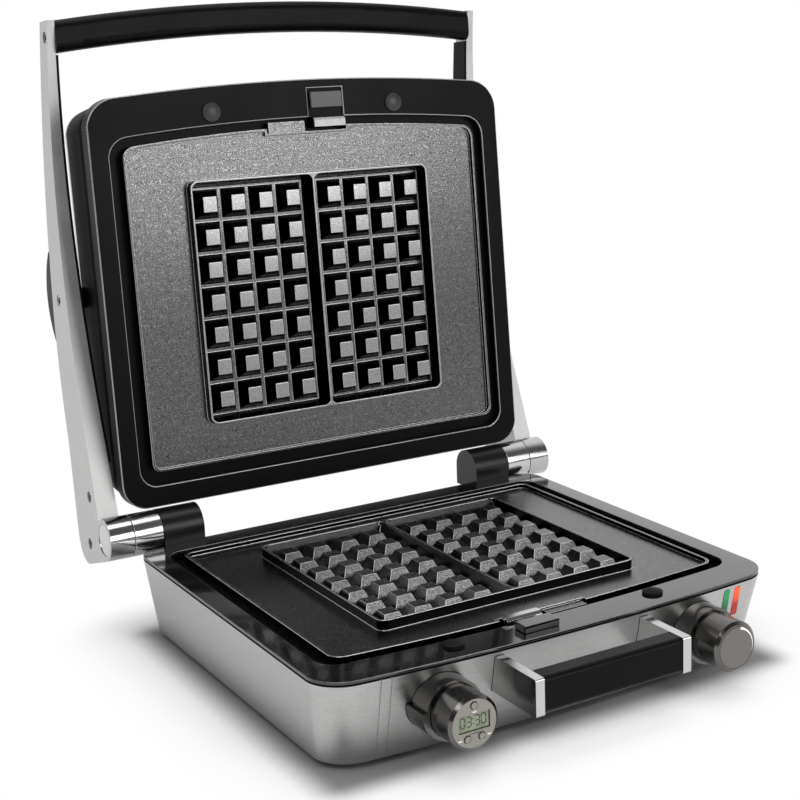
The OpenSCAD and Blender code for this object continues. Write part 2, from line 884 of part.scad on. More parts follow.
// One pocket for each waffle; its walls lean out to the top
module cell_pockets() {
    over = 0.5;
    inner = [divider_px / 2 - peg_base_x - wall_valley, wall_t / 2];
    outer = [pegs_x[2 * peg_nx - 1] + peg_base_x + wall_valley,
        block_x - wall_t];
    ends = [pegs_y[peg_ny - 1] + peg_base_y + wall_valley,
        block_y - wall_t];
    function at_top(v) = v[1] + (v[1] - v[0]) * over / -cell_floor;
    pair() intersection() {
        translate([0, 200, 0]) rotate([90, 0, 0]) linear_extrude(400)
            polygon([[inner[0], cell_floor], [outer[0], cell_floor],
                [at_top(outer), over], [at_top(inner), over]]);
        translate([-200, 0, 0]) rotate([90, 0, 90]) linear_extrude(400)
            leaning_section([ends[0], at_top(ends)], cell_floor, over);
        slab(cell_floor - 1, over + 1)
            translate([(inner[1] + outer[1]) / 2, 0])
                rounded_rect(outer[1] - inner[1], 2 * ends[1], cell_r);
    }
}

// side is +1 where the latch bar stands at positive X, -1 at negative X
module waffle_plate(side) {
    difference() {
        union() {
            slab(-margin_drop - margin_t, -margin_drop) plate_outline();
            difference() {
                slab(well_top + gap, -rim_drop) plate_outline();
                slab(-20, 1) plate_outline(rim_t);
            }
            slab(block_bottom, 0)
                rounded_rect(2 * block_x, 2 * block_y, block_r);
        }
        cell_pockets();
    }
    pegs();
    // Tab beside the latch bar
    box(side > 0 ? -notch_x + 2 : 1, side > 0 ? -1 : notch_x - 2,
        -opening_front + 2.5, -notch_y + 0.5, tab_top - 3.4, tab_top);
}
tab_top = -5.6;

module lower_plate() { color("#3c3d3f") lower_half() waffle_plate(-1); }
module upper_plate() { color("#4a4b4d") upper_half() waffle_plate(1); }

// ---- Plate latches -----------------------------------------------------

button_y = 148.2;
button_d = 12.4;
stem_x = 5;
stem_y = 3;
bar_y = 130.8;
bar_d = 7;
bar_z0 = -face_drop + 0.5;
bar_z1 = bar_z0 + 3.3;
link_z = well_top - tray_t - 1;

// The button runs in a slot and carries the bar by a link under the tray
module release_button(side, cap_z0, proud) {
    x = side * latch_x;
    box(x - latch_w / 2, x + latch_w / 2, -button_y - button_d / 2,
        -button_y + button_d / 2, cap_z0, -face_drop + proud);
    box(x - stem_x, x + stem_x, -button_y - stem_y, -button_y + stem_y,
        link_z - 2, cap_z0 + 0.1);
    box(x - stem_x, x + stem_x, -button_y - stem_y, -bar_y, link_z - 2,
        link_z);
}

// A strip whose front edge is chamfered, on a post
module latch_bar(side) {
    x = side * latch_x;
    front = -bar_y - bar_d / 2;
    in_side_view(x - latch_w / 2, x + latch_w / 2)
        polygon([[front, bar_z0], [front + bar_d, bar_z0],
            [front + bar_d, bar_z1], [front + 1.8, bar_z1],
            [front, bar_z1 - 1.8]]);
    box(x - stem_x, x + stem_x, -bar_y + 0.4, -bar_y + 3.4,
        link_z + 0.05, bar_z0 + 0.1);
}

module lower_release_button() {
    color("#141415") lower_half() release_button(-1, -face_drop + 0.3, 5);
}
module upper_release_button() {
    color("#4b4c4f") upper_half() release_button(1, lip_z + 0.4, 0.8);
}
module lower_latch_bar() { color("#c3c4c6") lower_half() latch_bar(-1); }
module upper_latch_bar() { color("#c3c4c6") upper_half() latch_bar(1); }

// ---- Arms and handle ---------------------------------------------------

function quad(p, n) = [for (i = [0 : n]) let (t = i / n)
    pow(1 - t, 2) * p[0] + 2 * t * (1 - t) * p[1] + pow(t, 2) * p[2]];

// Side view of an arm, closed: (Y, Z)
module arm_profile() {
    polygon(concat(
        quad(arm_under, 20),
        [[hinge_y - barrel_r * 0.8, hinge_z + barrel_r * 0.6],
         [hinge_y + barrel_r * 0.98, hinge_z - barrel_r * 0.2]],
        [for (i = [8 : -1 : 0]) quad(arm_heel, 8)[i]],
        [for (i = [20 : -1 : 0]) quad(arm_top, 20)[i]]
    ));
}

module in_side_view(x0, x1) {
    translate([x0, 0, 0]) rotate([90, 0, 90]) linear_extrude(x1 - x0)
        children();
}

function arm_out(y) = arm_out_top + (y + arm_front) * arm_slope;

screw_yz = [[handle_y, handle_z], [137, 100], [174, 106]];
module arm() {
    difference() {
        union() {
            in_side_view(arm_in, arm_out_hinge + 3) arm_profile();
            rod_x(barrel_in, arm_out_hinge + 3, hinge_y, hinge_z, barrel_r);
        }
        // outer face, which leans out towards the hinge
        translate([arm_out_top, -arm_front, 0])
            rotate([0, 0, -atan(arm_slope)])
                translate([0, -60, 0]) cube([40, 520, 220]);
        rod_x(0, shaft_out + 0.4, hinge_y, hinge_z, bush_r + push_fit);
        rod_x(arm_out_hinge - 3, arm_out_hinge + 5, hinge_y, hinge_z,
            cap_r + 0.2);
        rod_x(0, arm_out_hinge, pivot_y, pivot_z, pivot_r + push_fit);
        for (p = screw_yz) {
            rod_x(arm_out(p[0]) - 3, arm_out_hinge + 5, p[0], p[1], 4.3);
            rod_x(arm_out(p[0]) - 12, arm_out_hinge, p[0], p[1], 2.2);
        }
    }
}

cap_r = 11.8;
lock_mid = -9;
lock_half = 37;
rail_half = 16;
rail_in = arm_in + 3;
rail_out = arm_in + 8;
module arm_right() { color("#d9dada") opened() arm(); }
module arm_left() {
    color("#d9dada") opened() difference() {
        mirror([1, 0, 0]) arm();
        box(-arm_out_hinge - 3, 0, lock_mid - lock_half - 6,
            lock_mid + lock_half + 8, seat_z, seat_z + 40);
        box(-rail_out, -rail_in, lock_mid - rail_half - gap,
            lock_mid + rail_half + slide_travel + gap, seat_z - 6,
            seat_z + 1);
    }
}

// Crescent thumb slide that locks the lid's float
module float_lock_slide() {
    h = lock_peak - seat_z - gap;
    r = (pow(lock_half, 2) + pow(h, 2)) / (2 * h);
    color("#232427") opened() {
        in_side_view(-arm_out(lock_mid) + 0.6, -arm_in) intersection() {
            translate([lock_mid, lock_peak - r]) circle(r, $fn = 128);
            translate([lock_mid - lock_half, seat_z + gap])
                square([2 * lock_half, h + 1]);
        }
        box(gap - rail_out, -rail_in - gap, lock_mid - rail_half,
            lock_mid + rail_half, seat_z - 5.6, seat_z + 1);
    }
}

module arm_liner() {
    difference() {
        intersection() {
            in_side_view(arm_in - liner_t, arm_in - 0.05) arm_profile();
            box(0, 200, -arm_front + handle_w + 1, 112, 90, 160);
        }
        in_side_view(arm_in - liner_t - 1, arm_in + 1) {
            translate([pivot_y, pivot_z]) circle(lug_r + 6);
            translate([-60, arm_top[1][1] - 21]) square([112, 40]);
        }
    }
}

module arm_liner_right() { color("#202123") opened() arm_liner(); }
module arm_liner_left() {
    color("#202123") opened() mirror([1, 0, 0]) arm_liner();
}

// Handle bar: an arc between the arms, bowed away from the hinge
module lid_handle() {
    color("#1c1c1e") opened() difference() {
        intersection() {
            translate([0, handle_y - handle_bow + handle_r, handle_z])
                rotate(-90 - handle_span - 1)
                    rotate_extrude(angle = 2 * handle_span + 2, $fn = 720)
                        translate([handle_r, 0])
                            rounded_rect(handle_w, handle_t, 7);
            box(-arm_in + 0.05, arm_in - 0.05, -300, 0, 0, 300);
        }
        for (side = [-1, 1])
            rod_x(side > 0 ? arm_in - 12 : -arm_in - 1,
                side > 0 ? arm_in + 1 : -arm_in + 12,
                handle_y, handle_z, 2 + push_fit);
    }
}

module arm_screw(y, z) {
    x = arm_out(y);
    difference() {
        rod_x(x - 2.9, x - 0.7, y, z, 4);
        rod_x(x - 1.9, x, y, z, 2);
    }
    rod_x(x - 14, x - 2.8, y, z, 2);
}

module arm_screws() {
    color("#8f9193") opened() pair() {
        arm_screw(screw_yz[0][0], screw_yz[0][1]);
        for (p = [screw_yz[1], screw_yz[2]]) intersection() {
            arm_screw(p[0], p[1]);
            box(arm_out(p[0]) - 11.9, past, 0, past, 0, past);
        }
    }
}

module hinge_caps() {
    color("#e4e4e3") opened() pair()
        rod_x(arm_out_hinge - 2.9, arm_out_hinge - 0.3, hinge_y, hinge_z,
            cap_r);
}

module hinge_bushes() {
    color("#c8a15a") opened() pair() difference() {
        rod_x(barrel_in + 0.1, shaft_out - 1, hinge_y, hinge_z, bush_r);
        rod_x(0, past, hinge_y, hinge_z, shaft_r + run_fit);
    }
}

module pivot_pins() {
    color("#9c9ea0") opened() pair() difference() {
        rod_x(lug_in + 3, arm_out(pivot_y) - 0.6, pivot_y, pivot_z, pivot_r);
        rod_x(arm_out(pivot_y) - 2.4, past, pivot_y, pivot_z, 2.5);
    }
}

// ---- Lid ---------------------------------------------------------------

module lid_frame() {
    color("#19191b") upper_half() difference() {
        slab(band_z, -face_drop) lid_outline();
        slab(band_z - 1, lip_z) lid_outline(frame_wall);
        slab(band_z - 1, 0) opening_outline();
        // recess of the release button, open to the plate
        box(latch_x - latch_w / 2 - 2.4, latch_x + latch_w / 2 + 0.6,
            -button_y - latch_travel - button_d / 2 - 0.3,
            -opening_front + 1, lip_z - 1, 0);
    }
}

// Moulded band behind the frame, with the two lugs that the lid floats on
module lid_housing() {
    color("#232426") {
        upper_half() {
            difference() {
                slab(cover_z + 0.2, band_z + 2.5) lid_outline(band_inset);
                slab(cover_z - 6, band_z + 5) lid_outline(band_inset + 2.5);
            }
            difference() {
                slab(cover_z - 4, cover_z + 3)
                    lid_outline(band_inset + 2.5);
                slab(cover_z - 6, cover_z + 5)
                    lid_outline(band_inset + 4.5);
            }
        }
        opened() pair() difference() {
            union() {
                rod_x(lug_in, arm_in - liner_t - 0.6, pivot_y, pivot_z,
                    lug_r);
                box(lug_in, lug_in + 9, pivot_y - lug_r, pivot_y + lug_r,
                    upper_z - cover_z - 2, pivot_z);
                box(lug_in, base_x - band_inset - 2, pivot_y - lug_r,
                    pivot_y + lug_r, upper_z - cover_z - 3,
                    upper_z - cover_z + 3);
            }
            rod_x(lug_in - 1, past, pivot_y, pivot_z, pivot_r + run_fit);
        }
    }
}

module lid_body(inset, z0, z1) {
    hull() {
        slab(z1 - 0.01, z1) lid_outline(inset + band_inset);
        slab(z0, z0 + 0.01) lid_outline(inset + band_inset + cover_taper);
    }
}

module lid_cover() {
    color("#b4b5b4") opened() difference() {
        translate([0, 0, upper_z]) mirror([0, 0, 1])
            lid_body(0, cover_z - cover_d, cover_z);
        translate([0, 0, upper_z]) mirror([0, 0, 1])
            lid_body(cover_t, cover_z - cover_d + cover_t, cover_z + 0.01);
        pair() rod_x(lug_in - gap, past, pivot_y, pivot_z, lug_r + gap);
    }
}

module lid_bumpers() {
    color("#121213") upper_half() translate([0, 0, -face_drop + 0.05])
        for (x = [-bumper_x, bumper_x])
            translate([x, bumper_y]) bumper();
}

module upper_plate_tray() {
    color("#1d1e20") upper_half() difference() {
        intersection() {
            tray(cover_z - cover_d + 4);
            slab(cover_z - cover_d, 0) lid_outline(frame_wall + 0.2);
        }
        latch_slots(1);
    }
}

// ---- What is drawn -----------------------------------------------------

base_shell();
base_bezel();
lower_plate_tray();
bottom_cover();
feet();
bottom_screws();
bezel_bumpers();
hinge_knuckle_left();
hinge_knuckle_right();
hinge_collar_left();
hinge_collar_right();
hinge_shaft_left();
hinge_shaft_right();
lower_heater();
lower_reflector();
thermostat();
thermal_fuse();
terminal_block();
cord_inlet();
timer_sleeve();
dial_sleeve();
grip_bracket_left();
grip_bracket_right();
front_grip_bar();
ready_lens();
power_lens();
lamp_board();
thermostat_dial();
dial_face();
timer_body();
timer_face();
timer_display();
timer_start_button();
timer_minute_button();
timer_second_button();
lower_plate();
lower_release_button();
lower_latch_bar();
arm_left();
arm_right();
arm_liner_left();
arm_liner_right();
lid_handle();
arm_screws();
hinge_caps();
hinge_bushes();
pivot_pins();
float_lock_slide();
lid_frame();
lid_housing();
lid_cover();
lid_bumpers();
upper_plate_tray();
upper_heater();
upper_reflector();
upper_plate();
upper_release_button();
upper_latch_bar();
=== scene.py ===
import bpy
import json
import math
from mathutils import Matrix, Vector


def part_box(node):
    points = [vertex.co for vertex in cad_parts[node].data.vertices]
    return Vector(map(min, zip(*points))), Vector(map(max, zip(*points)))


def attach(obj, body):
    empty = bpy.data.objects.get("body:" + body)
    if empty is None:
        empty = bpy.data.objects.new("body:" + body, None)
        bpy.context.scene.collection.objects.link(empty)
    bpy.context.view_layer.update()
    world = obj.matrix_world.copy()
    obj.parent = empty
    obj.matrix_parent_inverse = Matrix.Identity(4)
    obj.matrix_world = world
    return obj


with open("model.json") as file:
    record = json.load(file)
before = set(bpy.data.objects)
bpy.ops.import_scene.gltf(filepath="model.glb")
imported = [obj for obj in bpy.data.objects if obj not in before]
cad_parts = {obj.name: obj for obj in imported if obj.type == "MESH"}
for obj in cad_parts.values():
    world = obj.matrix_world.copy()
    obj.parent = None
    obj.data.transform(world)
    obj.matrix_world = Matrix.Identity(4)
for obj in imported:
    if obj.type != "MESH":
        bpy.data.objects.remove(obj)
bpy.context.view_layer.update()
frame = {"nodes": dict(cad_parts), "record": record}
nodes = frame["nodes"]
mm = 0.001
lidFacing = (0, -0.997, 0.08)  # where the inner face of the open lid looks
noiseLow, noiseHigh = 0.3, 0.7  # most of a noise lies between these


def linearColour(hexText):
    # sRGB to linear, by the standard's own curve
    channels = [int(hexText[i:i + 2], 16) / 255 for i in (1, 3, 5)]
    linear = [c / 12.92 if c <= 0.04045 else ((c + 0.055) / 1.055) ** 2.4 for c in channels]
    return linear + [1.0]


def addNode(tree, kind, settings=None, links=None, stops=()):
    # a lower-case setting is a property of the node, any other is one of its sockets, and hex text is a
    # colour; a linked node gives its first output in use; stops are the places and values on a ramp.
    # Mix has its share at socket 0, its numbers at 2 and 3 and its colours at 6 and 7
    node = tree.nodes.new(kind)
    for name, value in (settings or {}).items():
        if isinstance(name, str) and name[0].islower():
            setattr(node, name, value)
        else:
            node.inputs[name].default_value = linearColour(value) if isinstance(value, str) else value
    for name, source in (links or {}).items():
        if isinstance(source, bpy.types.Node):
            source = next(socket for socket in source.outputs if socket.enabled)
        tree.links.new(source, node.inputs[name])
    for stop in stops[2:]:  # a new ramp has two
        node.color_ramp.elements.new(stop[0])
    for index, (position, value) in enumerate(stops):
        element = node.color_ramp.elements[index]
        element.position = position
        element.color = linearColour(value) if isinstance(value, str) else [value] * 3 + [1.0]
    return node


def startMaterial(name):
    material = bpy.data.materials.new(name)
    material.use_nodes = True
    tree = material.node_tree
    tree.nodes.clear()
    where = addNode(tree, "ShaderNodeTexCoord").outputs
    return material, tree, where


def finishMaterial(material, shader, links):
    tree = material.node_tree
    surface = addNode(tree, "ShaderNodeBsdfPrincipled", shader, links)
    addNode(tree, "ShaderNodeOutputMaterial", links={"Surface": surface})
    return material


def selectOnly(*pieces):
    bpy.ops.object.select_all(action="DESELECT")
    for piece in pieces:
        piece.select_set(True)
    bpy.context.view_layer.objects.active = pieces[0]


camera = {  # metres, degrees and millimetres of lens
    "place": (-0.5552, -0.9886, 0.4478), "pitch": 12.02, "yaw": 32.4, "roll": -1.37,
    "focalLength": 72.45, "sensor": 36, "shift": (-0.1229, -0.0553),
}


def makeCamera():
    data = bpy.data.cameras.new("camera")
    data.lens = camera["focalLength"]
    data.sensor_width = camera["sensor"]
    data.shift_x, data.shift_y = camera["shift"]
    eye = bpy.data.objects.new("camera", data)
    eye.location = camera["place"]
    eye.rotation_euler = [math.radians(90 - camera["pitch"]), 0, math.radians(-camera["yaw"])]
    eye.rotation_euler.rotate_axis("Z", math.radians(camera["roll"]))
    bpy.context.scene.collection.objects.link(eye)
    bpy.context.scene.camera = eye


lamps = {
    "topSoftbox": {"place": (0.1, 0.1, 1.8), "size": (1.1, 1.1), "power": 8},
    "keySoftbox": {"place": (-1.0, -1.15, 1.5), "size": (0.9, 0.9), "power": 9},
    "fillSoftbox": {"place": (0.78, -1.75, 0.78), "size": (1.15, 0.9), "power": 12},
}
lampTarget = Vector((0, 0, 0.18))  # the middle of the open waffle maker


def makeLamps():
    for name, lamp in lamps.items():
        data = bpy.data.lights.new(name, "AREA")
        data.shape = "RECTANGLE"
        data.size, data.size_y = lamp["size"]
        data.energy = lamp["power"]
        thing = bpy.data.objects.new(name, data)
        thing.location = lamp["place"]
        thing.rotation_euler = (lampTarget - thing.location).to_track_quat("-Z", "Y").to_euler()
        bpy.context.scene.collection.objects.link(thing)


studio = {
    "floorSize": 40.0, "floorWhite": "#FAFAFA", "worldLevel": 0.6,
    "backdrop": (0.5, 0.86, 0),  # the way from the open, dark side of the room to the white side
    "roomDark": 0.12, "skyTurns": (-0.1, 0.5), "floorTurns": (-2.2, -0.9),
    "shadowReach": 0.08, "shadowInMetal": 0.5,  # reach of the shadow, seen straight and in metal
    "contactInset": 0.01, "paintedShadowReach": 0.028, "paintedShadowTone": "#8C8C8C",  # painted shadow: darker floor paint round the foot
}


def seenInMirrors(tree, path, vector, turns):
    # metal and glass see white on the backdrop's side, and a dark room opposite
    rays = addNode(tree, "ShaderNodeMath", {"operation": "MAXIMUM"},
        {0: path["Is Glossy Ray"], 1: path["Is Transmission Ray"]})
    backdrop = Vector(studio["backdrop"]).normalized()
    side = addNode(tree, "ShaderNodeVectorMath", {"operation": "DOT_PRODUCT", 1: backdrop}, {0: vector})
    white = addNode(tree, "ShaderNodeMapRange", {"interpolation_type": "SMOOTHSTEP", "From Min": turns[0],
        "From Max": turns[1], "To Min": studio["roomDark"]}, {"Value": side})
    return addNode(tree, "ShaderNodeMath", {"operation": "MULTIPLY"}, {0: rays, 1: white})


def makeWorld():
    # the camera sees plain white, and matt surfaces get an even, lower light
    world = bpy.data.worlds.new("studio")
    bpy.context.scene.world = world
    world.use_nodes = True
    tree = world.node_tree
    tree.nodes.clear()
    direction = addNode(tree, "ShaderNodeTexCoord").outputs["Generated"]
    path = addNode(tree, "ShaderNodeLightPath").outputs
    mirrored = seenInMirrors(tree, path, direction, studio["skyTurns"])
    seen = addNode(tree, "ShaderNodeMath", {"operation": "MAXIMUM"}, {0: path["Is Camera Ray"], 1: mirrored})
    diffuse = addNode(tree, "ShaderNodeMath", {"operation": "MULTIPLY", 1: studio["worldLevel"]},
        {0: path["Is Diffuse Ray"]})
    strength = addNode(tree, "ShaderNodeMath", {"operation": "MAXIMUM"}, {0: diffuse, 1: seen})
    sky = addNode(tree, "ShaderNodeBackground", {"Color": (1, 1, 1, 1)}, {"Strength": strength})
    addNode(tree, "ShaderNodeOutputWorld", links={"Surface": sky})


def makeFloor():
    # painted near the base, where it holds the real shadow and a painted shadow round the foot, and glowing
    # white farther out
    bpy.ops.mesh.primitive_plane_add(size=studio["floorSize"], location=(0, 0, 0))
    floor = bpy.context.object
    floor.name = "floor"
    material, tree, where = startMaterial("paleFloor")
    low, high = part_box("base_shell")
    middle = (low + high) / 2
    # the foot of the base stands in from its box, because the sides lean in to the floor
    foot = (high - low) / 2 - Vector((1, 1, 1)) * studio["contactInset"]
    distance = where["Object"]
    for operation, amount in (("SUBTRACT", (middle.x, middle.y, 0)), ("ABSOLUTE", (0, 0, 0)),
            ("SUBTRACT", (foot.x, foot.y, 0)), ("MAXIMUM", (0, 0, 0)), ("LENGTH", (0, 0, 0))):
        distance = addNode(tree, "ShaderNodeVectorMath", {"operation": operation, 1: amount}, {0: distance})
    away, awayInMetal, contact = [addNode(tree, "ShaderNodeMapRange", {"interpolation_type": "SMOOTHSTEP",
        "From Max": studio[reach]}, {"Value": distance})
        for reach in ("shadowReach", "shadowInMetal", "paintedShadowReach")]
    # painted shadow: the paint goes from the floor white to the shadow tone towards the foot
    paintedShadowColour = addNode(tree, "ShaderNodeValToRGB", links={"Fac": contact},
        stops=[(0, studio["paintedShadowTone"]), (1, studio["floorWhite"])])
    paint = addNode(tree, "ShaderNodeBsdfDiffuse", links={"Color": paintedShadowColour})
    glow = addNode(tree, "ShaderNodeEmission", {"Color": (1, 1, 1, 1), "Strength": 1.0})
    path = addNode(tree, "ShaderNodeLightPath").outputs
    mirrored = seenInMirrors(tree, path, where["Object"], studio["floorTurns"])
    seen = addNode(tree, "ShaderNodeMath", {"operation": "MULTIPLY"}, {0: away, 1: path["Is Camera Ray"]})
    reflected = addNode(tree, "ShaderNodeMath", {"operation": "MULTIPLY"}, {0: awayInMetal, 1: mirrored})
    share = addNode(tree, "ShaderNodeMath", {"operation": "MAXIMUM"}, {0: seen, 1: reflected})
    mix = addNode(tree, "ShaderNodeMixShader", links={0: share, 1: paint, 2: glow})
    addNode(tree, "ShaderNodeOutputMaterial", links={"Surface": mix})
    floor.data.materials.append(material)


brushedSheet = {
    "colour": "#B8B8B7", "streakPitch": 0.45 * mm, "streakLength": 14 * mm,
    "speck": 0.8 * mm, "speckShare": 0.4, "relief": 0.05 * mm,
    "tint": [(noiseLow, "#A9A9A8"), (noiseHigh, "#C8C8C7")], "rough": [(noiseLow, 0.26), (noiseHigh, 0.38)],
    "bandColour": "#0D0D0E", "bandRough": 0.6, "bandGloss": 0.1, "backSkin": 4 * mm,
}


def brushedSteel(name, banded=False):
    # 430 stainless sheet, brushed level: streaks that run round the body, drawn as coarse as they need
    # to show, and soft wide highlights
    material, tree, where = startMaterial(name)
    along, across = 1 / brushedSheet["streakLength"], 1 / brushedSheet["streakPitch"]
    stretched = addNode(tree, "ShaderNodeMapping", {"Scale": (along, along, across)},
        {"Vector": where["Object"]})
    streaks = addNode(tree, "ShaderNodeTexNoise", {"Scale": 1.0, "Detail": 4.0, "Roughness": 0.6},
        {"Vector": stretched})
    specks = addNode(tree, "ShaderNodeTexNoise", {"Scale": 1 / brushedSheet["speck"], "Detail": 3.0},
        {"Vector": where["Object"]})
    both = addNode(tree, "ShaderNodeMix", {"data_type": "FLOAT", 0: brushedSheet["speckShare"]},
        {2: streaks, 3: specks})
    tint = addNode(tree, "ShaderNodeValToRGB", links={"Fac": both}, stops=brushedSheet["tint"])
    rough = addNode(tree, "ShaderNodeValToRGB", links={"Fac": both}, stops=brushedSheet["rough"])
    bump = addNode(tree, "ShaderNodeBump", {"Strength": 0.25, "Distance": brushedSheet["relief"]},
        {"Height": both})
    shader = {"Base Color": brushedSheet["colour"], "Metallic": 1.0, "Roughness": 0.3}
    links = {"Base Color": tint, "Roughness": rough, "Normal": bump}
    if banded:
        # the sides are drawn black, dull and not metal, and only the back skin stays bare steel
        back = -Vector(lidFacing)
        farthest = max(back.dot(vertex.co) for vertex in nodes["lid_cover"].data.vertices)
        depth = addNode(tree, "ShaderNodeVectorMath", {"operation": "DOT_PRODUCT", 1: back},
            {0: where["Object"]})
        bare = addNode(tree, "ShaderNodeMath", {"operation": "GREATER_THAN",
            1: farthest - brushedSheet["backSkin"]}, {0: depth})
        shader["Specular IOR Level"] = brushedSheet["bandGloss"]
        links["Metallic"] = bare
        links["Base Color"] = addNode(tree, "ShaderNodeMix", {"data_type": "RGBA",
            6: brushedSheet["bandColour"]}, {0: bare, 7: tint})
        links["Roughness"] = addNode(tree, "ShaderNodeMix", {"data_type": "FLOAT",
            2: brushedSheet["bandRough"]}, {0: bare, 3: rough})
    return finishMaterial(material, shader, links)


mouldedSkin = {"cloud": 35 * mm, "smoother": 0.9, "rougher": 1.12, "bump": 0.3, "lacquer": 0.06}


def moulding(name, colour, roughness, grainSize, depth, gloss=0.08, coat=0):
    # plastic, silicone or ceramic from a spark-eroded mould, whose grain spreads the highlights
    material, tree, where = startMaterial(name)
    grain = addNode(tree, "ShaderNodeTexNoise", {"Scale": 1 / grainSize, "Detail": 2.0},
        {"Vector": where["Object"]})
    cloud = addNode(tree, "ShaderNodeTexNoise", {"Scale": 1 / mouldedSkin["cloud"], "Detail": 3.0},
        {"Vector": where["Object"]})
    rough = addNode(tree, "ShaderNodeValToRGB", links={"Fac": cloud}, stops=[
        (noiseLow, roughness * mouldedSkin["smoother"]), (noiseHigh, roughness * mouldedSkin["rougher"])])
    bump = addNode(tree, "ShaderNodeBump", {"Strength": mouldedSkin["bump"], "Distance": depth},
        {"Height": grain})
    return finishMaterial(material, {"Base Color": colour, "Roughness": roughness, "Coat Weight": coat,
        "Specular IOR Level": gloss, "Coat Roughness": mouldedSkin["lacquer"]},
        {"Roughness": rough, "Normal": bump})


mica = {
    "size": 0.5 * mm, "depth": 0.045 * mm, "colour": "#3A3A3B", "wall": "#121213",
    "tint": [(0.34, "#232324"), (0.52, "#5A5A5B"), (0.7, "#B8B8B8")], "rough": [(0.35, 0.3), (0.7, 0.18)],
    "paintedHighlight": "#D8D8D8", "paintedHighlightShare": 0.3, "paintedHighlightFrom": 3 * mm, "paintedHighlightFull": 2.4 * mm,
}


def nonstickCoat(name, facing, bare, full, paintedHighlight=None):
    # cast aluminium under a sprayed black non-stick coat with a sparkle of mica, its flakes drawn coarser
    # than they are; faces turned away from the given facing get painted shade, so the steep walls go dark
    material, tree, where = startMaterial(name)
    fine = addNode(tree, "ShaderNodeTexNoise", {"Scale": 1 / mica["size"], "Detail": 3.0, "Roughness": 0.7},
        {"Vector": where["Object"]})
    tint = addNode(tree, "ShaderNodeValToRGB", links={"Fac": fine}, stops=mica["tint"])
    towards = addNode(tree, "ShaderNodeVectorMath", {"operation": "DOT_PRODUCT", 1: facing},
        {0: where["Normal"]})
    # painted shade: the mica tint gives way to the dark wall colour as the face turns away
    paintedLightShare = addNode(tree, "ShaderNodeMapRange", {"From Min": bare, "From Max": full}, {"Value": towards})
    if paintedHighlight:
        # painted highlight: the tips and cell walls, which stand proud of the rim, are painted paler
        top = max(Vector(facing).dot(vertex.co) for vertex in nodes[paintedHighlight].data.vertices)
        rise = addNode(tree, "ShaderNodeVectorMath", {"operation": "DOT_PRODUCT", 1: facing},
            {0: where["Object"]})
        tipHighlightMask = addNode(tree, "ShaderNodeMapRange", {"From Min": top - mica["paintedHighlightFrom"],
            "From Max": top - mica["paintedHighlightFull"], "To Max": mica["paintedHighlightShare"]}, {"Value": rise})
        tint = addNode(tree, "ShaderNodeMix", {"data_type": "RGBA", 7: mica["paintedHighlight"]}, {0: tipHighlightMask, 6: tint})
    coat = addNode(tree, "ShaderNodeMix", {"data_type": "RGBA", 6: mica["wall"]}, {0: paintedLightShare, 7: tint})
    rough = addNode(tree, "ShaderNodeValToRGB", links={"Fac": fine}, stops=mica["rough"])
    bump = addNode(tree, "ShaderNodeBump", {"Strength": 0.7, "Distance": mica["depth"]}, {"Height": fine})
    return finishMaterial(material, {"Base Color": mica["colour"], "Metallic": 1.0, "Roughness": 0.3},
        {"Base Color": coat, "Roughness": rough, "Normal": bump})


edgeHighlight = {"patch": 9 * mm, "smoother": 0.8, "rougher": 1.5, "turnedAway": 0.6, "turnedTo": 0.75}


def paintedHighlightEdge(name, colour, metallic, roughness, facing=None):
    # painted highlight: an edge drawn paler and smoother than the face, so that it shows a light line
    material, tree, where = startMaterial(name)
    patches = addNode(tree, "ShaderNodeTexNoise", {"Scale": 1 / edgeHighlight["patch"], "Detail": 3.0},
        {"Vector": where["Object"]})
    rough = addNode(tree, "ShaderNodeValToRGB", links={"Fac": patches}, stops=[
        (noiseLow, roughness * edgeHighlight["smoother"]), (noiseHigh, roughness * edgeHighlight["rougher"])])
    shader = {"Base Color": colour, "Metallic": metallic, "Roughness": roughness}
    links = {"Roughness": rough}
    if facing:
        # painted shade: where the edge turns away from the facing it takes the dark wall colour
        towards = addNode(tree, "ShaderNodeVectorMath", {"operation": "DOT_PRODUCT", 1: facing},
            {0: where["Normal"]})
        links["Base Color"] = addNode(tree, "ShaderNodeValToRGB", links={"Fac": towards}, stops=[
            (edgeHighlight["turnedAway"], mica["wall"]), (edgeHighlight["turnedTo"], colour)])
        shader["Base Color"] = mica["wall"]
    return finishMaterial(material, shader, links)


castArm = {
    "colour": "#BEBEBD", "metal": 0.75, "grain": 1.2 * mm, "cloud": 40 * mm, "cloudShare": 0.6,
    "tint": [(0.35, "#B8B8B7"), (0.65, "#C6C6C5")], "rough": [(0.35, 0.36), (0.65, 0.46)],
    "barrelMargin": 1.2 * mm, "barrelRound": 0.5, "barrelRough": 0.13,
}


def polishedBarrel(tree, where):
    # the round of each hinge barrel is turned bright: near the hinge line, and not an end face
    low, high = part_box("hinge_collar_left")
    line = (low + high) / 2
    reach = (high.z - low.z) / 2 + castArm["barrelMargin"]
    radius = where["Object"]
    for operation, amount in (("SUBTRACT", (0, line.y, line.z)), ("MULTIPLY", (0, 1, 1)),
            ("LENGTH", (0, 0, 0))):
        radius = addNode(tree, "ShaderNodeVectorMath", {"operation": operation, 1: amount}, {0: radius})
    close = addNode(tree, "ShaderNodeMath", {"operation": "LESS_THAN", 1: reach}, {0: radius})
    sideways = addNode(tree, "ShaderNodeVectorMath", {"operation": "DOT_PRODUCT", 1: (1, 0, 0)},
        {0: where["Normal"]})
    size = addNode(tree, "ShaderNodeMath", {"operation": "ABSOLUTE"}, {0: sideways})
    curved = addNode(tree, "ShaderNodeMath", {"operation": "LESS_THAN", 1: castArm["barrelRound"]}, {0: size})
    return addNode(tree, "ShaderNodeMath", {"operation": "MULTIPLY"}, {0: close, 1: curved})


